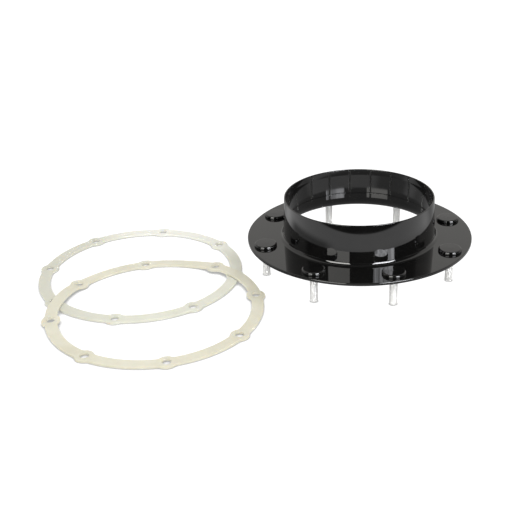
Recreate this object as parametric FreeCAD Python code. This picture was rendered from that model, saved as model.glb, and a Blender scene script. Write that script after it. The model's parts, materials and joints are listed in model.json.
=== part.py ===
import FreeCAD, Part
import math
import os

# Toilet flange: a gloss black plate with a raised collar that takes a pipe,
# eight captive studs under the plate with black caps over their heads, and
# two flat eight-hole gaskets that lie beside it on the same surface.
#
# Millimetres and degrees.  The origin is on the collar's axis at the plate's
# underside.  +Z points up the collar, and the studs point down.

Vector = FreeCAD.Vector
Z_AXIS = Vector(0, 0, 1)

# --- flange body ---
pipe_od = 114.3            # pipe that enters the collar
pipe_gap = 0.8             # room all round that pipe
base_wall = 2.3            # collar wall at the plate; the outside is drafted
rim_wall = 1.05            # collar wall at the rim
collar_h = 32.0            # collar above the plate's top face
land_w = 28.75             # plate outside the collar
plate_t = 2.2              # plate thickness
fillet_r = 3.0             # collar to plate, outside
entry_h = 5.0              # straight entry of the bore below the rim
bore_taper = 3.2           # degrees; the bore narrows below its entry
line_h = 11.25             # fine groove round the bore, above the plate
line_w = 0.9
line_deep = 0.45
mouth_r = 9.0              # rounded mouth of the bore at the underside
plate_edge_r = 0.7         # round on the plate's top edge
plate_foot_r = 0.3         # round on the plate's bottom edge
rim_round_share = 0.4      # rim edge round as a share of the rim's wall

# --- studs and their caps ---
stud_count = 8
stud_first_angle = 12.9    # bearing of the first stud
stud_edge = 12.0           # stud axis to the plate's edge
stud_d = 6.0               # thread outside diameter
stud_reach = 23.0          # shank below the plate's underside
stud_chamfer = 0.8
neck_d = 6.6               # neck, pressed into the plate
head_d = 13.0              # thin disc head of the stud
head_t = 1.2
cap_wall = 2.4             # cap around the stud's head
cap_roof = 1.4             # cap above the stud's head
cap_round = 1.3            # round on the cap's top edge

# --- gaskets ---
gasket_w = 9.0             # width of the ring
gasket_t = 2.0
hole_gap = 0.25            # room all round the stud in a gasket hole
lobe_w = 3.75              # rubber around each hole
lobe_blend_r = 4.0         # blend between lobe and ring
lay_gap = 0.2              # room where one gasket lies on the other

# Where the two gaskets lie: bearing from the collar's axis, gap between the
# plate's edge and the gasket, and the bearing of the gasket's first hole.
back_bearing = 181.9
back_gap = 3.6
back_hole_angle = 35.5
front_bearing = 203.3
front_gap = 1.5
front_hole_angle = 10.2

# --- worked out from the values above ---
bore_r = pipe_od / 2 + pipe_gap
base_r = bore_r + base_wall
rim_r = bore_r + rim_wall
plate_r = base_r + land_w
rim_z = plate_t + collar_h
entry_z = rim_z - entry_h
foot_r = bore_r - entry_z * math.tan(math.radians(bore_taper))
line_z = plate_t + line_h
line_r = bore_r - (entry_z - line_z) * math.tan(math.radians(bore_taper)) + line_deep
stud_circle_r = plate_r - stud_edge
head_top = plate_t + head_t
cap_r = head_d / 2 + cap_wall
cap_top = head_top + cap_roof
floor_z = -stud_reach
gasket_hole_r = stud_d / 2 + hole_gap
lobe_r = gasket_hole_r + lobe_w
gasket_r = stud_circle_r + lobe_r
NEAR = 1e-4                # how closely an edge must match to be picked
CUT_ROOM = 1.0             # how far a cutting tool runs past the wall


def polar(radius, bearing, height=0.0):
    """A point from its radius, bearing and height."""
    turn = math.radians(bearing)
    return Vector(radius * math.cos(turn), radius * math.sin(turn), height)


def bearings(first):
    """The bearings of the stud pattern, from its first one."""
    return [first + step * 360.0 / stud_count for step in range(stud_count)]


def turned(points):
    """A solid turned about Z from (radius, height) corners."""
    corners = [Vector(radius, 0, height) for radius, height in points]
    outline = Part.makePolygon(corners + corners[:1])
    return Part.Face(outline).revolve(Vector(), Z_AXIS, 360)


def ring_edges(shape, radius, height):
    """The round edges of a turned shape at one radius and height."""
    found = []
    for edge in shape.Edges:
        curve = edge.Curve
        if not isinstance(curve, Part.Circle):
            continue
        if abs(curve.Radius - radius) < NEAR and abs(curve.Center.z - height) < NEAR:
            found.append(edge)
    return found


def upright_edges(shape, inside_r, outside_r):
    """The straight edges along Z between two radii from the origin."""
    found = []
    for edge in shape.Edges:
        if not isinstance(edge.Curve, Part.Line):
            continue
        start = edge.Vertexes[0].Point
        end = edge.Vertexes[-1].Point
        if math.hypot(start.x - end.x, start.y - end.y) > NEAR:
            continue
        if inside_r < math.hypot(start.x, start.y) < outside_r:
            found.append(edge)
    return found


def flange_body():
    """Plate and collar in one piece, with the pressed stud holes."""
    body = turned([
        (foot_r, 0),
        (plate_r, 0),
        (plate_r, plate_t),
        (base_r, plate_t),
        (rim_r, rim_z),
        (bore_r, rim_z),
        (bore_r, entry_z),
    ])
    rim_round = rim_wall * rim_round_share
    body = body.makeFillet(fillet_r, ring_edges(body, base_r, plate_t))
    body = body.makeFillet(mouth_r, ring_edges(body, foot_r, 0))
    body = body.makeFillet(plate_edge_r, ring_edges(body, plate_r, plate_t))
    body = body.makeFillet(plate_foot_r, ring_edges(body, plate_r, 0))
    rim_edges = ring_edges(body, rim_r, rim_z) + ring_edges(body, bore_r, rim_z)
    body = body.makeFillet(rim_round, rim_edges)
    body = body.cut(turned([
        (foot_r - CUT_ROOM, line_z - line_w / 2),
        (line_r, line_z - line_w / 2),
        (line_r, line_z + line_w / 2),
        (foot_r - CUT_ROOM, line_z + line_w / 2),
    ]))
    for bearing in bearings(stud_first_angle):
        centre = polar(stud_circle_r, bearing)
        body = body.cut(Part.makeCylinder(neck_d / 2, plate_t, centre, Z_AXIS))
    return body


def stud():
    """One stud about Z: disc head, pressed neck and chamfered shank."""
    return turned([
        (0, floor_z),
        (stud_d / 2 - stud_chamfer, floor_z),
        (stud_d / 2, floor_z + stud_chamfer),
        (stud_d / 2, 0),
        (neck_d / 2, 0),
        (neck_d / 2, plate_t),
        (head_d / 2, plate_t),
        (head_d / 2, head_top),
        (0, head_top),
    ])


def stud_cap():
    """One cap about Z, with the pocket that grips the stud's head."""
    cap = turned([
        (head_d / 2, plate_t),
        (cap_r, plate_t),
        (cap_r, cap_top),
        (0, cap_top),
        (0, head_top),
        (head_d / 2, head_top),
    ])
    return cap.makeFillet(cap_round, ring_edges(cap, cap_r, cap_top))


def flat_gasket(first_angle):
    """A gasket flat on z = 0 about Z, with a lobe round each hole."""
    outer = Part.makeCylinder(stud_circle_r + gasket_w / 2, gasket_t)
    inner = Part.makeCylinder(stud_circle_r - gasket_w / 2, gasket_t)
    centres = [polar(stud_circle_r, bearing) for bearing in bearings(first_angle)]
    lobes = [Part.makeCylinder(lobe_r, gasket_t, centre) for centre in centres]
    gasket = outer.cut(inner).fuse(lobes).removeSplitter()
    corners = upright_edges(gasket, stud_circle_r - gasket_w, stud_circle_r + gasket_w)
    gasket = gasket.makeFillet(lobe_blend_r, corners)
    for centre in centres:
        gasket = gasket.cut(Part.makeCylinder(gasket_hole_r, gasket_t, centre))
    return gasket


def lying_place(bearing, gap):
    """The centre of a gasket that lies beside the plate."""
    return polar(plate_r + gap + gasket_r, bearing, floor_z)


def back_gasket():
    """The gasket that lies flat on the surface."""
    gasket = flat_gasket(back_hole_angle)
    gasket.translate(lying_place(back_bearing, back_gap))
    return gasket


def front_gasket():
    """The gasket whose back lies on the other one, front edge on the surface."""
    gasket = flat_gasket(front_hole_angle)
    place = lying_place(front_bearing, front_gap)
    step = place - lying_place(back_bearing, back_gap)
    half_step = step.Length / 2
    forward = Vector(step).normalize()
    # The rings cross on the line half way between their centres.  The nearest
    # shared material to the front edge lies this far forward of that line.
    crossing = lobe_r * stud_circle_r / half_step
    run = half_step + gasket_r - crossing
    tilt = math.degrees(math.asin((gasket_t + lay_gap) / run))
    gasket.rotate(forward * gasket_r, Z_AXIS.cross(forward), tilt)
    gasket.translate(place)
    return gasket


def placed(shape, bearing):
    """A copy of a shape moved from Z onto the stud circle."""
    copy = shape.copy()
    copy.translate(polar(stud_circle_r, bearing))
    return copy


def export(shape, node):
    """Write one node."""
    shape.exportStep("parts/" + node + ".step")


def main():
    os.makedirs("parts", exist_ok=True)
    export(flange_body(), "flange_body")
    for number, bearing in enumerate(bearings(stud_first_angle), start=1):
        export(placed(stud(), bearing), "stud_%d" % number)
        export(placed(stud_cap(), bearing), "stud_cap_%d" % number)
    export(back_gasket(), "back_gasket")
    export(front_gasket(), "front_gasket")


main()
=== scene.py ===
"""Looks of the toilet flange set: a gloss black flange with eight capped studs,
and two silicone gaskets lying beside it.  Lengths are in millimetres and turned
into metres where meshes are made."""

import json
import math
import random

import bpy
from mathutils import Matrix, Vector, noise
from mathutils.geometry import delaunay_2d_cdt


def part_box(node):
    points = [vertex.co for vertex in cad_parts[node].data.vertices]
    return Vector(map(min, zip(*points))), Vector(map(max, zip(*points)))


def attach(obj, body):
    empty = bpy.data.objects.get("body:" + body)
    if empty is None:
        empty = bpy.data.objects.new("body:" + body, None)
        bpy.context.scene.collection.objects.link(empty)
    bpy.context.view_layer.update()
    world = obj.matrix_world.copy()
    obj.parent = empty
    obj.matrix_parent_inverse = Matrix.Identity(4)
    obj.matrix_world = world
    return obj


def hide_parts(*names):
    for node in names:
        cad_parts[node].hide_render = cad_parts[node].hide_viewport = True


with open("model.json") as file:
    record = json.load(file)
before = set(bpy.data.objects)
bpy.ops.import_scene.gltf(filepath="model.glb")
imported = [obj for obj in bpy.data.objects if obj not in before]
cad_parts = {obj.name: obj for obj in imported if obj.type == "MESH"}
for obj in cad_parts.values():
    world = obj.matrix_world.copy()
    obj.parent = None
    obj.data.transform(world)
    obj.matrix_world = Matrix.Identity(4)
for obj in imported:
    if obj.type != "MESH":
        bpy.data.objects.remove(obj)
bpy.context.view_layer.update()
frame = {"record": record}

MM = 0.001
NEAR = 1e-6
chance = random.Random(7)

# --- sizes read from the frame ---
record = frame["record"]
mount = {entry["name"]: entry for entry in record["mounts"]}


def box_mm(node):
    """The corners of a CAD node's box, in millimetres."""
    low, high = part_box(node)
    return low / MM, high / MM


def box_middle(node):
    """The middle of a CAD node's box, in millimetres."""
    low, high = box_mm(node)
    return (low + high) / 2


body_high = box_mm("flange_body")[1]
cap_low, cap_high = box_mm("stud_cap_1")
stud_low, stud_high = box_mm("stud_1")
gasket_low, gasket_high = box_mm("back_gasket")

bore_r = mount["pipe_bore"]["dims"]["r_mm"]
stud_circle_r = mount["stud_circle"]["dims"]["pcd_mm"] / 2
stud_count = mount["stud_circle"]["dims"]["count"]
shank_r = mount["stud_circle"]["dims"]["stud_r_mm"]
plate_r = body_high.x
plate_top = cap_low.z
rim_z = body_high.z
floor_z = stud_low.z
head_top = stud_high.z
head_r = (stud_high.x - stud_low.x) / 2
cap_r = (cap_high.x - cap_low.x) / 2
cap_top = cap_high.z
gasket_t = gasket_high.z - gasket_low.z
back_centre = box_middle("back_gasket")
front_centre = box_middle("front_gasket")

# --- body details ---
rim_r = bore_r + 1.05
base_r = bore_r + 2.3
fillet_r = 3.0
entry_h = 5.0
bore_taper = math.tan(math.radians(3.2))
line_z = plate_top + 11.25
line_w = 0.9
line_deep = 0.45
mouth_r = 9.0
rim_round = 0.4
plate_edge_r = 0.7
plate_foot_r = 0.3
neck_r = 3.3
hole_round = 0.25
entry_blend = 1.0          # where the straight entry meets the taper
line_round = 0.1           # rounds in and beside the fine groove
line_lip = 0.06
turn_steps = 288
hole_steps = 40
edge_steps = 3             # steps in the round of a hole or a gasket edge
arc_step = math.radians(7)

# --- studs and caps ---
pitch = 1.0                # M6 thread
thread_depth = 0.56
thread_end = 1.6           # the thread runs out this far below the plate
fade_turns = 1.5
root_share = 0.12          # flat root and sloping flank, as shares of the pitch
flank_share = 0.70
rolled = 0.35              # how far the rolling rounds root and crest
tip_chamfer = 0.8
rows_per_pitch = 10
stud_steps = 40
seat_gap = 0.04            # the visual stud stays this far inside its hole
head_gap = 0.05            # and this far under its cap
head_side_gap = 0.1
head_edge = 0.3            # chamfers on the stud's head and neck
head_foot = 0.25
neck_edge = 0.3
plate_gap = 0.02           # between the head and the plate
cap_round = 1.3
cap_crown = 0.12
cap_foot = 0.15            # the cap draws in at its foot
cap_foot_h = 0.5
cap_foot_round = 0.12
cap_side_round = 0.3
cap_draft = 0.1
cap_steps = 64
pole_r = 0.4               # last ring before a pole

# --- gaskets ---
ring_half = 4.5
hole_r = 3.25
lobe_r = 7.0
blend_r = 4.0
back_first = 35.5
front_first = 10.2
lay_gap = 0.08
edge_round = 0.35
gasket_hole_steps = 32
fill_rings = (-2.6, 0.0, 2.6)
fill_steps = 240
fill_gap = 0.7             # inner points stay this far from a hole's edge
hump_start = 1.2           # the upper gasket starts to sink this far past the lower one
hump_run = 36.0            # and reaches the surface over this run
wave_scale = 0.02          # long low waves in how a gasket lies
wave_height = 0.03
wave_seed = 3.1
slope_probe = 0.4          # slopes are read this far to each side
lobe_steps = 9


# ---------------------------------------------------------------- meshes

class Builder:
    """Collects points and faces with a normal at every face corner."""

    def __init__(self):
        self.points = []
        self.faces = []
        self.normals = []

    def add_points(self, points):
        """Adds points given in millimetres and returns their numbers."""
        first = len(self.points)
        self.points.extend(Vector(point) * MM for point in points)
        return list(range(first, len(self.points)))

    def face(self, corners, normals):
        """Adds a face with one normal for each corner."""
        self.faces.append(tuple(corners))
        self.normals.extend(normals)

    def make(self, name):
        """The mesh as an object in the scene."""
        mesh = bpy.data.meshes.new(name)
        mesh.from_pydata(self.points, [], self.faces)
        mesh.shade_smooth()
        mesh.normals_split_custom_set([tuple(n) for n in self.normals])
        mesh.update()
        piece = bpy.data.objects.new(name, mesh)
        bpy.context.scene.collection.objects.link(piece)
        return piece


def heading(turn):
    """The level unit vector at an angle."""
    return Vector((math.cos(turn), math.sin(turn)))


def ring_points(radius, height, steps, centre=(0.0, 0.0)):
    """Points round a level circle."""
    points = []
    for step in range(steps):
        turn = math.tau * step / steps
        x = centre[0] + radius * math.cos(turn)
        y = centre[1] + radius * math.sin(turn)
        points.append((x, y, height))
    return points


def rounded_section(corners):
    """Straight runs and arcs round a section given as (r, z, round) corners.

    The section runs with the solid on its left, and the result is a list of
    (r, z, incoming normal, outgoing normal)."""
    rows = []
    count = len(corners)
    for index, (r, z, radius) in enumerate(corners):
        here = Vector((r, z))
        before = Vector(corners[index - 1][:2])
        after = Vector(corners[(index + 1) % count][:2])
        into = (here - before).normalized()
        out = (after - here).normalized()
        n_in = Vector((into.y, -into.x))
        n_out = Vector((out.y, -out.x))
        if radius <= 0:
            rows.append((here, n_in, n_out))
            continue
        bend = into.angle_signed(out)
        turn = -bend
        reach = radius * math.tan(abs(turn) / 2)
        start = here - into * reach
        side = 1.0 if turn > 0 else -1.0
        centre = start - n_in * radius * side
        steps = max(2, math.ceil(abs(turn) / arc_step))
        for step in range(steps + 1):
            angle = turn * step / steps
            normal = n_in.copy()
            normal.rotate(Matrix.Rotation(angle, 2))
            rows.append((centre + normal * radius * side, normal, normal))
    return rows


def lathe(builder, rows, steps, skip=()):
    """Turns a closed list of rows about Z and returns each row's points."""
    rings = []
    for point, _, _ in rows:
        rings.append(builder.add_points(ring_points(point.x, point.y, steps)))
    count = len(rows)
    for index in range(count):
        if index in skip:
            continue
        other = (index + 1) % count
        n_low, n_high = rows[index][2], rows[other][1]
        for step in range(steps):
            ahead = (step + 1) % steps
            corners = (rings[index][step], rings[index][ahead], rings[other][ahead], rings[other][step])
            turn_a = math.tau * step / steps
            turn_b = math.tau * (step + 1) / steps
            normals = (spun(n_low, turn_a), spun(n_low, turn_b), spun(n_high, turn_b), spun(n_high, turn_a))
            builder.face(corners, normals)
    return rings


def spun(normal, turn):
    """A section's normal, turned about Z."""
    return (normal.x * math.cos(turn), normal.x * math.sin(turn), normal.y)


def close_pole(builder, ring, height, up):
    """Fan from a small ring to a point on the axis."""
    pole = builder.add_points([(0, 0, height)])[0]
    normal = (0, 0, 1.0 if up else -1.0)
    for step in range(len(ring)):
        ahead = (step + 1) % len(ring)
        corners = (ring[step], ring[ahead], pole) if up else (ring[ahead], ring[step], pole)
        builder.face(corners, (normal,) * 3)


def loop_edges(loops):
    """Edges round closed loops that are numbered one after the other."""
    edges = []
    start = 0
    for loop in loops:
        size = len(loop)
        edges.extend((start + k, start + (k + 1) % size) for k in range(size))
        start += size
    return edges


def edge_profile(radius, thickness):
    """A sheet's edge with a round at both ends, from the bottom to the top.

    Gives (inset, rise, side share of the normal, up share of the normal)."""
    profile = []
    for step in range(edge_steps + 1):
        turn = math.pi / 2 * step / edge_steps
        profile.append((radius * (1 - math.sin(turn)), radius * (1 - math.cos(turn)),
                        math.sin(turn), -math.cos(turn)))
    for step in range(edge_steps + 1):
        turn = math.pi / 2 * step / edge_steps
        profile.append((radius * (1 - math.cos(turn)), thickness - radius * (1 - math.sin(turn)),
                        math.cos(turn), math.sin(turn)))
    return profile


def pierced_face(builder, outer, inner, holes, centres, reach, up):
    """A flat ring face between two rings of points, with round holes in it."""
    loops = [outer, inner] + holes
    index = [i for loop in loops for i in loop]
    flat = [Vector((builder.points[i].x, builder.points[i].y)) for i in index]
    inner_r = flat[len(outer)].length
    found = delaunay_2d_cdt(flat, loop_edges(loops), [], 0, 1e-9)
    normal = (0, 0, 1.0 if up else -1.0)
    for triangle in found[2]:
        middle = sum((found[0][k] for k in triangle), Vector((0, 0))) / 3
        if middle.length < inner_r * math.cos(math.pi / len(inner)):
            continue
        if any((middle - centre).length < reach * math.cos(math.pi / hole_steps) for centre in centres):
            continue
        corners = [index[found[3][k][0]] for k in triangle]
        a, b, c = (builder.points[k] for k in corners)
        if ((b - a).cross(c - a).z > 0) != up:
            corners.reverse()
        builder.face(corners, (normal,) * 3)


# ---------------------------------------------------------------- flange body

stud_first = math.degrees(math.atan2(box_middle("stud_1").y, box_middle("stud_1").x))
stud_bearings = [math.radians(stud_first + 360 / stud_count * k) for k in range(stud_count)]
stud_centres = [heading(b) * stud_circle_r for b in stud_bearings]


def stud_hole(builder, centre):
    """The wall of one stud hole, with a small round at both ends."""
    profile = edge_profile(hole_round, plate_top)
    rings = []
    for inset, rise, _, _ in profile:
        rings.append(builder.add_points(ring_points(neck_r + inset, rise, hole_steps, centre)))
    for index in range(len(profile) - 1):
        low, high = rings[index], rings[index + 1]
        n_low, n_high = (Vector((-row[2], row[3])) for row in profile[index:index + 2])
        for step in range(hole_steps):
            ahead = (step + 1) % hole_steps
            turn_a = math.tau * step / hole_steps
            turn_b = math.tau * (step + 1) / hole_steps
            normals = (spun(n_low, turn_b), spun(n_low, turn_a), spun(n_high, turn_a), spun(n_high, turn_b))
            builder.face((low[ahead], low[step], high[step], high[ahead]), normals)
    return rings[0], rings[-1]


def flange_body():
    """Plate and collar: one turned shape whose flat faces have the stud holes."""
    def wall(z):
        return bore_r - (rim_z - entry_h - z) * bore_taper

    line_r = wall(line_z) + line_deep
    line_low, line_high = line_z - line_w / 2, line_z + line_w / 2
    corners = [
        (wall(0), 0, mouth_r),
        (plate_r, 0, plate_foot_r),
        (plate_r, plate_top, plate_edge_r),
        (base_r, plate_top, fillet_r),
        (rim_r, rim_z, rim_round),
        (bore_r, rim_z, rim_round),
        (bore_r, rim_z - entry_h, entry_blend),
        (wall(line_high), line_high, line_lip),
        (line_r, line_high, line_round),
        (line_r, line_low, line_round),
        (wall(line_low), line_low, line_lip),
    ]
    rows = rounded_section(corners)
    builder = Builder()
    on_foot = [i for i, row in enumerate(rows) if abs(row[0].y) < NEAR]
    on_top = [i for i, row in enumerate(rows) if abs(row[0].y - plate_top) < NEAR]
    underside = max(i for i in on_foot if rows[i][0].x < stud_circle_r - head_r)
    land = max(i for i in on_top if rows[i][0].x > stud_circle_r)
    rings = lathe(builder, rows, turn_steps, skip=(underside, land))
    holes = [stud_hole(builder, centre) for centre in stud_centres]
    low_holes, high_holes = zip(*holes)
    centres = [centre * MM for centre in stud_centres]
    reach = (neck_r + hole_round) * MM
    pierced_face(builder, rings[underside + 1], rings[underside], list(low_holes), centres, reach, False)
    pierced_face(builder, rings[land], rings[land + 1], list(high_holes), centres, reach, True)
    return builder.make("flange_moulding")


# ---------------------------------------------------------------- caps

def cap():
    """One cap about Z: crowned top, rounded edge, pocket for the stud head."""
    corners = [
        (head_r, plate_top, 0),
        (cap_r - cap_foot, plate_top, cap_foot_round),
        (cap_r, plate_top + cap_foot_h, cap_side_round),
        (cap_r - cap_draft, cap_top - cap_crown, cap_round),
        (pole_r, cap_top, 0),
        (pole_r, head_top, 0),
        (head_r, head_top, 0),
    ]
    rows = rounded_section(corners)
    builder = Builder()
    on_pole = [i for i, row in enumerate(rows) if abs(row[0].x - pole_r) < NEAR]
    top = max(i for i in on_pole if rows[i][0].y > cap_top - NEAR)
    rings = lathe(builder, rows, cap_steps, skip=(top,))
    close_pole(builder, rings[top], cap_top, True)
    close_pole(builder, rings[top + 1], head_top, False)
    return builder.make("cap_shape")


# ---------------------------------------------------------------- studs

def thread_radius(turn, height):
    """Radius of the rolled thread, with its run-out and chamfered tip."""
    phase = (height / pitch - turn / math.tau) % 1.0
    tooth = abs(phase - 0.5) * 2
    crest = min(max((tooth - root_share) / flank_share, 0.0), 1.0)
    crest = crest * crest * (3 - 2 * crest) * rolled + crest * (1 - rolled)
    fade = min(max((-thread_end - height) / (fade_turns * pitch), 0.0), 1.0)
    low = shank_r - thread_depth * fade
    radius = low + (shank_r - low) * crest
    tip = height - floor_z
    return min(radius, shank_r - tip_chamfer + tip)


def thread_normal(turn, height, radius):
    """Unit normal of the thread's surface at one point."""
    small = 1e-3
    rise = thread_radius(turn, height + small) - thread_radius(turn, height - small)
    swirl = thread_radius(turn + small, height) - thread_radius(turn - small, height)
    around = Vector((-math.sin(turn), math.cos(turn), 0)) * (swirl / (2 * small * radius))
    up = Vector((0, 0, rise / (2 * small)))
    return tuple((heading(turn).to_3d() - around - up).normalized())


def stud():
    """One stud about Z: disc head, pressed neck, rolled thread, chamfered end."""
    builder = Builder()
    span = -thread_end / 2 - floor_z
    rows = round(span / pitch * rows_per_pitch)
    turns = [math.tau * step / stud_steps for step in range(stud_steps)]
    rings, normals = [], []
    for row in range(rows + 1):
        height = floor_z + span * row / rows
        radii = [thread_radius(turn, height) for turn in turns]
        points = [heading(turn).to_3d() * r + Vector((0, 0, height)) for r, turn in zip(radii, turns)]
        rings.append(builder.add_points(points))
        normals.append([thread_normal(turn, height, r) for r, turn in zip(radii, turns)])
    for index in range(rows):
        low, high = rings[index], rings[index + 1]
        n_low, n_high = normals[index], normals[index + 1]
        for step in range(stud_steps):
            ahead = (step + 1) % stud_steps
            builder.face((low[step], low[ahead], high[ahead], high[step]),
                         (n_low[step], n_low[ahead], n_high[ahead], n_high[step]))
    # radius and height, up the neck, out under the head, round its edge and in
    upper = [
        (shank_r, floor_z + span),
        (shank_r, -0.35),
        (neck_r - neck_edge, -0.05),
        (neck_r - seat_gap, 0.2),
        (neck_r - seat_gap, plate_top - plate_gap),
        (head_r - head_foot, plate_top + plate_gap),
        (head_r - head_side_gap, plate_top + 0.12),
        (head_r - head_side_gap, head_top - 0.15),
        (head_r - head_edge, head_top - head_gap),
        (pole_r, head_top - head_gap),
    ]
    last = rings[-1]
    for (r_a, z_a), (r_b, z_b) in zip(upper, upper[1:]):
        run = Vector((r_b - r_a, z_b - z_a)).normalized()
        normal = Vector((run.y, -run.x))
        ring = builder.add_points(ring_points(r_b, z_b, stud_steps))
        for step in range(stud_steps):
            ahead = (step + 1) % stud_steps
            a, b = math.tau * step / stud_steps, math.tau * (step + 1) / stud_steps
            builder.face((last[step], last[ahead], ring[ahead], ring[step]),
                         (spun(normal, a), spun(normal, b), spun(normal, b), spun(normal, a)))
        last = ring
    close_pole(builder, last, head_top - head_gap, True)
    close_pole(builder, rings[0], floor_z, False)
    return builder.make("stud_shape")


# ---------------------------------------------------------------- gaskets

def gasket_outline(first):
    """Outer and inner outline of a gasket about the origin, and its holes."""
    centres = [heading(b) * stud_circle_r
               for b in (math.radians(first + 360 / stud_count * k) for k in range(stud_count))]
    outer = scalloped(stud_circle_r + ring_half, blend_r, first)
    inner = scalloped(stud_circle_r - ring_half, -blend_r, first)
    return outer, inner, centres


def scalloped(ring_r, blend, first):
    """A ring outline with a lobe at every hole.  blend is negative inside."""
    outside = blend > 0
    blend_centre_r = ring_r + blend
    joint_reach = lobe_r + abs(blend)
    squares = stud_circle_r ** 2 + blend_centre_r ** 2 - joint_reach ** 2
    half = math.acos(squares / (2 * stud_circle_r * blend_centre_r))
    outline = []
    for k in range(stud_count):
        bearing = math.radians(first + 360 / stud_count * k)
        lobe = heading(bearing) * stud_circle_r
        low = heading(bearing - half) * blend_centre_r
        high = heading(bearing + half) * blend_centre_r
        low_foot = low.normalized() * ring_r
        high_foot = high.normalized() * ring_r
        low_touch = low + (lobe - low).normalized() * abs(blend)
        high_touch = high + (lobe - high).normalized() * abs(blend)
        outline += arc(low, low_foot, low_touch, lobe_steps)
        outline += arc(lobe, low_touch, high_touch, lobe_steps * 2, lobe * (1 if outside else -1))[1:]
        outline += arc(high, high_touch, high_foot, lobe_steps)[1:]
        next_start = math.radians(first + 360 / stud_count * (k + 1)) - half
        run = next_start - (bearing + half)
        pieces = lobe_steps * 2
        for step in range(1, pieces):
            turn = bearing + half + run * step / pieces
            outline.append(heading(turn) * ring_r)
    return outline


def arc(centre, start, end, steps, towards=None):
    """Points from start to end about a centre, the short way or past towards."""
    a = math.atan2(start.y - centre.y, start.x - centre.x)
    b = math.atan2(end.y - centre.y, end.x - centre.x)
    sweep = (b - a + math.pi) % math.tau - math.pi
    if towards is not None:
        middle = a + sweep / 2
        if heading(middle).dot(towards) < 0:
            sweep -= math.copysign(math.tau, sweep)
    radius = (start - centre).length
    return [centre + heading(a + sweep * k / steps) * radius
            for k in range(steps + 1)]


def outline_normals(outline, outward):
    """Sideways unit vectors that point away from the rubber."""
    normals = []
    count = len(outline)
    for k in range(count):
        run = outline[(k + 1) % count] - outline[k - 1]
        side = Vector((run.y, -run.x)).normalized()
        normals.append(side * outward)
    return normals


def distance_to_back(point):
    """How far a point is outside the back gasket's footprint."""
    local = point - Vector((back_centre.x, back_centre.y))
    ring = abs(local.length - stud_circle_r) - ring_half
    lobes = min((local - centre).length for centre in back_hole_centres) - lobe_r
    return min(ring, lobes)


back_hole_centres = gasket_outline(back_first)[2]


def ease(share):
    """A smooth step from 0 to 1."""
    share = min(max(share, 0.0), 1.0)
    return share ** 3 * (share * (share * 6 - 15) + 10)


def lie_flat(point):
    """Height of a gasket's underside above the surface."""
    wave = noise.noise(Vector((point.x * wave_scale, point.y * wave_scale, wave_seed)))
    return wave_height + wave_height * wave


def lie_over(point):
    """Underside of the upper gasket: on the surface, humped over the lower one."""
    near = 1 - ease((distance_to_back(point) - hump_start) / hump_run)
    return lie_flat(point) + near * (gasket_t + lay_gap)


def gasket(name, centre, first, height_of):
    """A moulded gasket draped by height_of, with rounded edges."""
    outer, inner, holes = gasket_outline(first)
    loops = [(outer, 1.0), (inner, -1.0)]
    for hole in holes:
        turns = [math.tau * k / gasket_hole_steps for k in range(gasket_hole_steps)]
        loops.append(([hole + heading(turn) * hole_r for turn in turns], -1.0))
    place = Vector((centre.x, centre.y))
    profile = edge_profile(edge_round, gasket_t)
    builder = Builder()

    def surface(flat, rise):
        here = flat + place
        return (here.x, here.y, floor_z + height_of(here) + rise)

    def slope(here, step):
        return (height_of(here + step) - height_of(here - step)) / (2 * slope_probe)

    def tilted(flat, side, up):
        here = flat + place
        slope_x = slope(here, Vector((slope_probe, 0)))
        slope_y = slope(here, Vector((0, slope_probe)))
        level = Vector((-slope_x, -slope_y, 1)).normalized()
        return (Vector((side.x, side.y, 0)) + level * up).normalized()

    bottoms, tops = [], []
    for outline, outward in loops:
        sides = outline_normals(outline, outward)
        rows = []
        for inset, rise, side_share, up_share in profile:
            flats = [p - s * inset for p, s in zip(outline, sides)]
            ring = builder.add_points([surface(p, rise) for p in flats])
            normals = [tilted(p, s * side_share, up_share) for p, s in zip(flats, sides)]
            rows.append(list(zip(ring, normals)))
        for low, high in zip(rows, rows[1:]):
            for k in range(len(outline)):
                j = (k + 1) % len(outline)
                patch = [low[k], low[j], high[j], high[k]]
                if outward < 0:
                    patch.reverse()
                builder.face([corner[0] for corner in patch], [corner[1] for corner in patch])
        bottoms.append([point for point, _ in rows[0]])
        tops.append([point for point, _ in rows[-1]])
    flat_sheet(builder, bottoms, place, holes, surface, tilted, False)
    flat_sheet(builder, tops, place, holes, surface, tilted, True)
    return builder.make(name)


def flat_sheet(builder, loops, place, holes, surface, tilted, up):
    """Top or bottom of a gasket between its edge loops, with inner points."""
    index = [i for loop in loops for i in loop]
    flat = [Vector((builder.points[i].x, builder.points[i].y)) / MM - place for i in index]
    for ring in fill_rings:
        for k in range(fill_steps):
            turn = math.tau * (k + (0.5 if ring else 0)) / fill_steps
            point = heading(turn) * (stud_circle_r + ring)
            if all((point - hole).length > hole_r + edge_round + fill_gap for hole in holes):
                index.extend(builder.add_points([surface(point, gasket_t if up else 0.0)]))
                flat.append(point)
    outer_size, inner_size = len(loops[0]), len(loops[1])
    outer_flat = flat[:outer_size]
    inner_flat = flat[outer_size:outer_size + inner_size]
    found = delaunay_2d_cdt(flat, loop_edges(loops), [], 0, 1e-7)
    normal_at = {}
    for triangle in found[2]:
        middle = sum((found[0][k] for k in triangle), Vector((0, 0))) / 3
        if not inside(middle, outer_flat) or inside(middle, inner_flat):
            continue
        if any((middle - hole).length < hole_r for hole in holes):
            continue
        sources = [found[3][k][0] for k in triangle]
        a, b, c = (builder.points[index[source]] for source in sources)
        if ((b - a).cross(c - a).z > 0) != up:
            sources.reverse()
        for source in sources:
            if source not in normal_at:
                normal_at[source] = tilted(flat[source], Vector((0, 0)), 1.0 if up else -1.0)
        builder.face([index[source] for source in sources], [normal_at[source] for source in sources])


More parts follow.
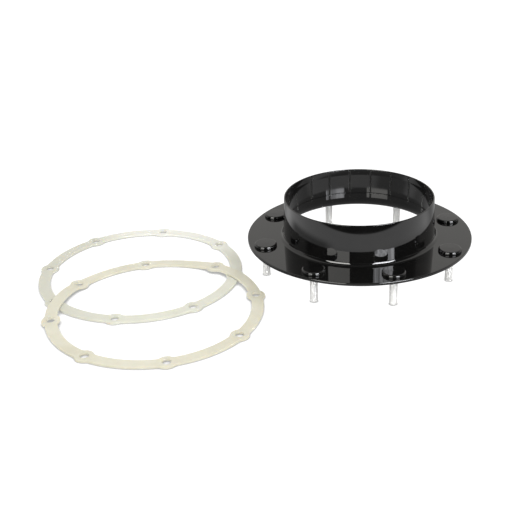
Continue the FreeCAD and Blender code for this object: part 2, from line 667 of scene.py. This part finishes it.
def inside(point, outline):
    """Whether a point is inside a closed outline."""
    crossings = False
    x, y = point
    count = len(outline)
    for k in range(count):
        a, b = outline[k], outline[(k + 1) % count]
        if (a.y > y) != (b.y > y) and x < (b.x - a.x) * (y - a.y) / (b.y - a.y) + a.x:
            crossings = not crossings
    return crossings


# ---------------------------------------------------------------- materials

class Graph:
    """Adds nodes to one shader tree.  A value is a number, a colour or an output."""

    def __init__(self, owner):
        owner.use_nodes = True
        self.nodes = owner.node_tree.nodes
        self.links = owner.node_tree.links

    def feed(self, node, values):
        """Sets or links some of a node's inputs, by name or number."""
        for name, value in values.items():
            socket = node.inputs[name]
            if isinstance(value, bpy.types.NodeSocket):
                self.links.new(value, socket)
            elif socket.type == "RGBA":
                socket.default_value = (*value, 1)
            else:
                socket.default_value = value

    def new(self, kind, values=None):
        """A node of one kind, with some of its inputs set or linked."""
        made = self.nodes.new("ShaderNode" + kind)
        self.feed(made, values or {})
        return made

    def math(self, operation, *values):
        """One sum or other operation on values."""
        made = self.nodes.new("ShaderNodeMath")
        made.operation = operation
        self.feed(made, dict(enumerate(values)))
        return made.outputs[0]

    def mix(self, factor, first, second, blend="MIX"):
        """The first colour where the factor is 0 and the second where it is 1."""
        made = self.nodes.new("ShaderNodeMix")
        made.data_type = "RGBA"
        made.blend_type = blend
        self.feed(made, {"Factor": factor, "A": first, "B": second})
        return made.outputs["Result"]

    def tinted(self, mask, colour, strength):
        """A mask turned into light of one colour."""
        return self.mix(mask, (0, 0, 0), tuple(part * strength for part in colour))

    def sum(self, first, second):
        """Two colours added."""
        return self.mix(1, first, second, "ADD")

    def place(self, kind):
        """Texture coordinates of one kind."""
        return self.nodes.new("ShaderNodeTexCoord").outputs[kind]

    def axes(self, vector):
        """The x, y and z of a vector."""
        return self.new("SeparateXYZ", {0: vector}).outputs

    def azimuth(self, x, y):
        """Degrees about Z, from 0 in front to 90 on the right and 180 behind."""
        forward = self.math("MULTIPLY", y, -1.0)
        return self.math("DEGREES", self.math("ARCTAN2", x, forward))

    def clouds(self, place, scale, detail, roughness=0.5):
        """Noise, mostly between 0.3 and 0.7."""
        values = {"Vector": place, "Scale": scale, "Detail": detail, "Roughness": roughness}
        return self.new("TexNoise", values).outputs["Fac"]

    def ramp(self, source, low, high, start=0.3, end=0.7):
        """A value turned into a colour between two."""
        made = self.new("ValToRGB", {"Fac": source})
        made.color_ramp.elements[0].position = start
        made.color_ramp.elements[1].position = end
        made.color_ramp.elements[0].color = (*low, 1)
        made.color_ramp.elements[1].color = (*high, 1)
        return made.outputs["Color"]

    def spread(self, source, low, high, start=0.3, end=0.7):
        """A value mapped to another range and kept in it."""
        values = {"Value": source, "From Min": start, "From Max": end, "To Min": low, "To Max": high}
        return self.new("MapRange", values)

    def above(self, source, edge, soft):
        """1 above an edge and 0 below it, with a soft step."""
        made = self.spread(source, 0, 1, edge - soft, edge + soft)
        made.interpolation_type = "SMOOTHSTEP"
        return made.outputs["Result"]

    def below(self, source, edge, soft):
        """1 below an edge and 0 above it, with a soft step."""
        made = self.spread(source, 1, 0, edge - soft, edge + soft)
        made.interpolation_type = "SMOOTHSTEP"
        return made.outputs["Result"]

    def between(self, source, low, high, soft):
        """1 between two edges and 0 outside, with soft steps."""
        return self.math("MULTIPLY", self.above(source, low, soft), self.below(source, high, soft))

    def openness(self):
        """1 in the open and less in creases; it sets where shade is painted."""
        made = self.new("AmbientOcclusion", {"Distance": crease_shade_reach})
        made.samples = crease_shade_rays
        return made.outputs["AO"]

    def relief(self, height, depth, strength=1.0):
        """A normal with small bumps."""
        values = {"Height": height, "Distance": depth, "Strength": strength}
        return self.new("Bump", values).outputs["Normal"]

    def glow(self, kind, colour, strength=1.0):
        """An Emission or Background shader."""
        return self.new(kind, {"Color": colour, "Strength": strength}).outputs[0]

    def by_ray(self, kind, others, chosen):
        """One shader for the chosen kind of ray and another for all others."""
        chooser = self.new("LightPath").outputs[kind]
        return self.new("MixShader", {0: chooser, 1: others, 2: chosen}).outputs[0]


def grey(level):
    """A neutral colour."""
    return (level, level, level)


def material(name):
    """A new material with its graph and its shader."""
    made = bpy.data.materials.new(name)
    graph = Graph(made)
    return made, graph, graph.nodes["Principled BSDF"]


# how far the painted shade in creases reaches, in metres
crease_shade_reach = 0.005
crease_shade_rays = 8

# black plastic
black_low = (0.0035, 0.0035, 0.0037)
black_high = (0.0065, 0.0063, 0.0060)
black_rough = 0.025

# stainless steel
steel_low = (0.78, 0.78, 0.77)
steel_high = (0.88, 0.88, 0.87)
steel_rough = (0.30, 0.42)
marks_stretch = (60, 60, 900)
marks_depth = 0.00002

# silicone: painted shade on the left, painted light at the rear right, painted shade in creases and holes
left_x = -0.205
rear_y = 0.045
left_shade_tone = (0.47, 0.465, 0.40)
rear_light_tone = (0.72, 0.725, 0.68)
crease_shade_tone = (0.34, 0.34, 0.31)
crease_shade_edge = 0.44
silicone_rough = (0.42, 0.60)
grain_depth = 0.00006


def black_gloss(name, wave_depth, haze):
    """Polished black moulded plastic: faint haze and flow waves in the gloss."""
    made, graph, shader = material(name)
    place = graph.place("Object")
    tone = graph.clouds(place, 60, 5)
    smear = graph.clouds(place, 35, 6, 0.6)
    waves = graph.clouds(place, 22, 1.5, 0.4)
    graph.feed(shader, {
        "Base Color": graph.ramp(tone, black_low, black_high),
        "Roughness": graph.spread(smear, black_rough, black_rough + haze).outputs["Result"],
        "Normal": graph.relief(waves, wave_depth),
        "IOR": 1.5,
    })
    return made


def stainless(name):
    """Bright rolled stainless with fine turning marks."""
    made, graph, shader = material(name)
    stretched = graph.new("Mapping", {"Vector": graph.place("Object"), "Scale": marks_stretch})
    marks = graph.clouds(stretched.outputs["Vector"], 4, 4)
    graph.feed(shader, {
        "Base Color": graph.ramp(marks, steel_low, steel_high),
        "Roughness": graph.spread(marks, *steel_rough).outputs["Result"],
        "Normal": graph.relief(marks, marks_depth, 0.5),
        "Metallic": 0.2,
    })
    return made


def silicone(name, low, high, left_shade_share):
    """Off-white translucent silicone with a satin skin and faint clouds, with painted shade on the left,
    painted light at the rear right and painted shade in creases.
    """
    made, graph, shader = material(name)
    place = graph.place("Object")
    x, y, _ = graph.axes(place)
    # painted shade on the left side of the rubber
    left = graph.below(x, left_x, 0.05)
    # painted light: the rubber is made paler at the rear right
    rear = graph.math("MULTIPLY", graph.above(y, rear_y, 0.05), graph.above(x, left_x, 0.03))
    tone = graph.ramp(graph.clouds(place, 45, 6, 0.62), low, high)
    tone = graph.mix(graph.math("MULTIPLY", left, left_shade_share), tone, left_shade_tone)
    tone = graph.mix(rear, tone, rear_light_tone)
    # painted shade in creases and inside the holes, from ambient occlusion
    unshaded_share = graph.above(graph.openness(), crease_shade_edge, 0.04)
    grain = graph.clouds(place, 900, 3, 0.6)
    graph.feed(shader, {
        "Base Color": graph.mix(unshaded_share, crease_shade_tone, tone),
        "Roughness": graph.spread(grain, *silicone_rough).outputs["Result"],
        "Normal": graph.relief(grain, grain_depth, 0.6),
        "Subsurface Weight": 0.35,
        "Subsurface Radius": (1.0, 0.8, 0.45),
        "Subsurface Scale": 0.0025,
        "IOR": 1.41,
    })
    return made


body_black = black_gloss("body_black", 0.000012, 0.03)
cap_black = black_gloss("cap_black", 0.000010, 0.035)
stud_steel = stainless("stud_steel")
front_silicone = silicone("gasket_silicone_front", (0.56, 0.54, 0.435), (0.635, 0.62, 0.52), 0.05)
back_silicone = silicone("gasket_silicone_back", (0.575, 0.577, 0.495), (0.64, 0.645, 0.57), 0.55)


# ---------------------------------------------------------------- pieces

def finish_piece(piece, look, body, slot, *nodes):
    """Gives a piece its look and body, and hides the CAD nodes it stands for.  The slot is not used."""
    piece.data.materials.clear()
    piece.data.materials.append(look)
    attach(piece, body)
    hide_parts(*nodes)
    return piece


def copies(shape, names):
    """One object per name, sharing the shape's mesh.  The shape itself goes."""
    made = []
    for name in names:
        piece = bpy.data.objects.new(name, shape.data)
        bpy.context.scene.collection.objects.link(piece)
        made.append(piece)
    bpy.data.objects.remove(shape)
    return made


finish_piece(flange_body(), body_black, "flange", "body_black", "flange_body")

cap_pieces = copies(cap(), ["cap_%d" % (k + 1) for k in range(stud_count)])
stud_pieces = copies(stud(), ["threaded_stud_%d" % (k + 1) for k in range(stud_count)])
for k, centre in enumerate(stud_centres):
    for piece in (cap_pieces[k], stud_pieces[k]):
        piece.location = (centre.x * MM, centre.y * MM, 0)
        piece.rotation_euler = (0, 0, chance.uniform(0, math.tau))
    finish_piece(cap_pieces[k], cap_black, "flange", "cap_black", "stud_cap_%d" % (k + 1))
    finish_piece(stud_pieces[k], stud_steel, "flange", "stud_steel", "stud_%d" % (k + 1))

rubber_back = finish_piece(gasket("gasket_back", back_centre, back_first, lie_flat), back_silicone,
                           "back_gasket", "gasket_silicone", "back_gasket")
rubber_front = finish_piece(gasket("gasket_front", front_centre, front_first, lie_over), front_silicone,
                            "front_gasket", "gasket_silicone", "front_gasket")
for rubber in (rubber_back, rubber_front):
    rubber.visible_glossy = False


# ---------------------------------------------------------------- stage

def quad(name, corners, look):
    """A flat stage piece with four corners."""
    mesh = bpy.data.meshes.new(name)
    mesh.from_pydata([Vector(corner) for corner in corners], [], [(0, 1, 2, 3)])
    mesh.materials.append(look)
    piece = bpy.data.objects.new(name, mesh)
    bpy.context.scene.collection.objects.link(piece)


# the table as gloss sees it, a glow with painted light and shade: lengths in metres, azimuths in degrees
table_shade_r = 0.0915
table_outer_r = 0.150
table_side_r = 0.165
table_front_r = 0.197
table_bow = 0.0000036      # the front edge bows out by this times the azimuth squared
table_front = 62           # the front edge ends this far round
table_side = (-105, -42)   # the less bright stretch at the left
table_back_right = 100     # and behind, from here on the right
table_back_left = -128     # to here on the left
table_glow = 0.80
table_outer_glow = 0.38
table_side_glow = 0.38
table_shadow_glow = 0.24
table_polish = 0.16
table_polish_rough = 0.06
table_skim = 0.70          # only skimming rays see the polish
table_bounce = 1.10        # what the pieces get from it, other than in their gloss

# the sweep as the camera sees it: white, with painted contact shadow in creases
sweep_crease_shadow = (0.42, 0.42, 0.41)
sweep_open = (1.15, 1.15, 1.15)
sweep_span = (0.44, 0.82)

# the studio: pale backdrop behind the object, dark room and two windows in front
backdrop = 0.78
backdrop_colour = (1.0, 0.985, 0.95)
backdrop_edge = 92
room = 0.025
left_window = {"azimuth": (-54, -19.7), "strength": 12, "colour": (1.0, 0.99, 0.95), "mottled": 0}
right_window = {"azimuth": (16.7, 47.5), "strength": 36, "colour": (0.95, 0.96, 1.0), "mottled": 0.6}
window_height = (12, 46)
leaf_span = (0.40, 0.60)   # noise that mottles the right window
fill = 1.02
fill_colour = (1, 0.995, 0.98)
plain_white = 1.2


def floor_look():
    """White sweep for the camera, with painted contact shadow in creases.  Gloss sees a table glowing on it
    in painted light and shade: a dim painted shadow, polished, under the flange, bright round it, less
    bright at the left and behind, and dark past its front edge.  From below it is clear."""
    made = bpy.data.materials.new("white_sweep")
    graph = Graph(made)
    graph.nodes.clear()
    surface = graph.new("NewGeometry")
    x, y, _ = graph.axes(surface.outputs["Position"])
    azimuth = graph.azimuth(x, y)
    turned = graph.math("ABSOLUTE", azimuth)
    squares = graph.math("ADD", graph.math("MULTIPLY", x, x), graph.math("MULTIPLY", y, y))
    radius = graph.math("SQRT", squares)

    outer = graph.above(radius, table_outer_r, 0.015)
    colour = graph.sum(graph.tinted(outer, grey(1), table_outer_glow), grey(table_glow))
    near = graph.below(radius, table_side_r, 0.01)
    side = graph.math("MULTIPLY", graph.between(azimuth, *table_side, 9), near)
    right_back = graph.above(azimuth, table_back_right, 12)
    left_back = graph.below(azimuth, table_back_left, 12)
    back = graph.math("MAXIMUM", right_back, left_back)
    colour = graph.mix(graph.math("MAXIMUM", side, back), colour, grey(table_side_glow))
    # painted shadow of the flange on the table, as gloss sees it
    under = graph.below(radius, table_shade_r, 0.003)
    colour = graph.mix(under, colour, grey(table_shadow_glow))
    bow = graph.math("MULTIPLY", graph.math("MULTIPLY", turned, turned), table_bow)
    past_edge = graph.above(graph.math("SUBTRACT", radius, bow), table_front_r, 0.002)
    past = graph.math("MULTIPLY", past_edge, graph.below(turned, table_front, 4))
    table = graph.glow("Emission", colour, graph.math("SUBTRACT", 1.0, past))

    skimming = graph.above(graph.new("LayerWeight").outputs["Facing"], table_skim, 0.03)
    polished = graph.tinted(graph.math("MULTIPLY", under, skimming), grey(1), table_polish)
    polish = graph.new("BsdfGlossy", {"Color": polished, "Roughness": table_polish_rough})
    mirrored = graph.new("AddShader", {0: table, 1: polish.outputs[0]}).outputs[0]

    lights_rubber = graph.glow("Emission", grey(1), table_bounce)
    # painted contact shadow in creases on the sweep the camera sees
    seen = graph.glow("Emission", graph.ramp(graph.openness(), sweep_crease_shadow, sweep_open, *sweep_span))
    from_above = graph.by_ray("Is Camera Ray", graph.by_ray("Is Glossy Ray", lights_rubber, mirrored), seen)
    clear = graph.new("BsdfTransparent").outputs[0]
    both = graph.new("MixShader", {0: surface.outputs["Backfacing"], 1: from_above, 2: clear})
    graph.new("OutputMaterial", {"Surface": both.outputs[0]})
    return made


def studio():
    """White for the camera, backdrop, room and windows for gloss, and a soft
    fill for all else."""
    world = bpy.data.worlds.new("studio")
    bpy.context.scene.world = world
    graph = Graph(world)
    graph.nodes.clear()
    place = graph.place("Generated")
    x, y, z = graph.axes(place)
    height = graph.math("DEGREES", graph.math("ARCSINE", z))
    azimuth = graph.azimuth(x, y)
    behind = graph.above(graph.math("ABSOLUTE", azimuth), backdrop_edge, 6)
    light = graph.sum(graph.tinted(behind, backdrop_colour, backdrop - room), grey(room))
    leaves = graph.clouds(place, 16, 4)
    upright = graph.between(height, *window_height, 0.6)
    for window in (left_window, right_window):
        mask = graph.math("MULTIPLY", graph.between(azimuth, *window["azimuth"], 0.4), upright)
        if window["mottled"]:
            mottle = graph.spread(leaves, 1 - window["mottled"], 1, *leaf_span)
            mask = graph.math("MULTIPLY", mask, mottle.outputs["Result"])
        light = graph.sum(light, graph.tinted(mask, window["colour"], window["strength"]))
    mirrored = graph.glow("Background", light)
    soft = graph.glow("Background", fill_colour, fill)
    plain = graph.glow("Background", grey(1), plain_white)
    seen = graph.by_ray("Is Camera Ray", graph.by_ray("Is Glossy Ray", soft, mirrored), plain)
    graph.new("OutputWorld", {"Surface": seen})


studio()
floor_reach = 6.0
floor_sides = ((-1, -1), (1, -1), (1, 1), (-1, 1))
quad("floor", [(x * floor_reach, y * floor_reach, floor_z * MM) for x, y in floor_sides], floor_look())


lamp_aim = Vector((-0.09, -0.02, 0))
lamp_height = 38
lamp_distance = 1.6
lamp_size = 0.9


def soft_lamp(name, azimuth, power):
    """An area lamp that lights the pieces but doesn't show in their gloss."""
    data = bpy.data.lights.new(name, "AREA")
    data.shape = "SQUARE"
    data.size = lamp_size
    data.energy = power
    lamp = bpy.data.objects.new(name, data)
    bpy.context.scene.collection.objects.link(lamp)
    a, h = math.radians(azimuth), math.radians(lamp_height)
    towards = Vector((math.sin(a) * math.cos(h), -math.cos(a) * math.cos(h), math.sin(h)))
    offset = towards * lamp_distance
    lamp.location = lamp_aim + offset
    lamp.rotation_euler = (-offset).to_track_quat("-Z", "Y").to_euler()
    lamp.visible_glossy = False
    lamp.visible_camera = False


soft_lamp("lamp_left", -35, 5)
soft_lamp("lamp_right", 38, 8)

# ---------------------------------------------------------------- camera

# in front and above, looking down by some degrees and rolled a little
view_place = (-0.08307, -0.68927, 0.31855)
view_down = 25.813
view_roll = -2.5225

view_data = bpy.data.cameras.new("view")
view_data.lens = 66.337
view_data.sensor_width = 36
view_data.clip_start = 0.01
view = bpy.data.objects.new("view", view_data)
bpy.context.scene.collection.objects.link(view)
view.location = view_place
tilt = Matrix.Rotation(math.radians(90 - view_down), 4, "X")
roll = Matrix.Rotation(math.radians(view_roll), 4, "Z")
view.rotation_euler = (tilt @ roll).to_euler()
bpy.context.scene.camera = view
bpy.context.scene.view_settings.view_transform = "Standard"
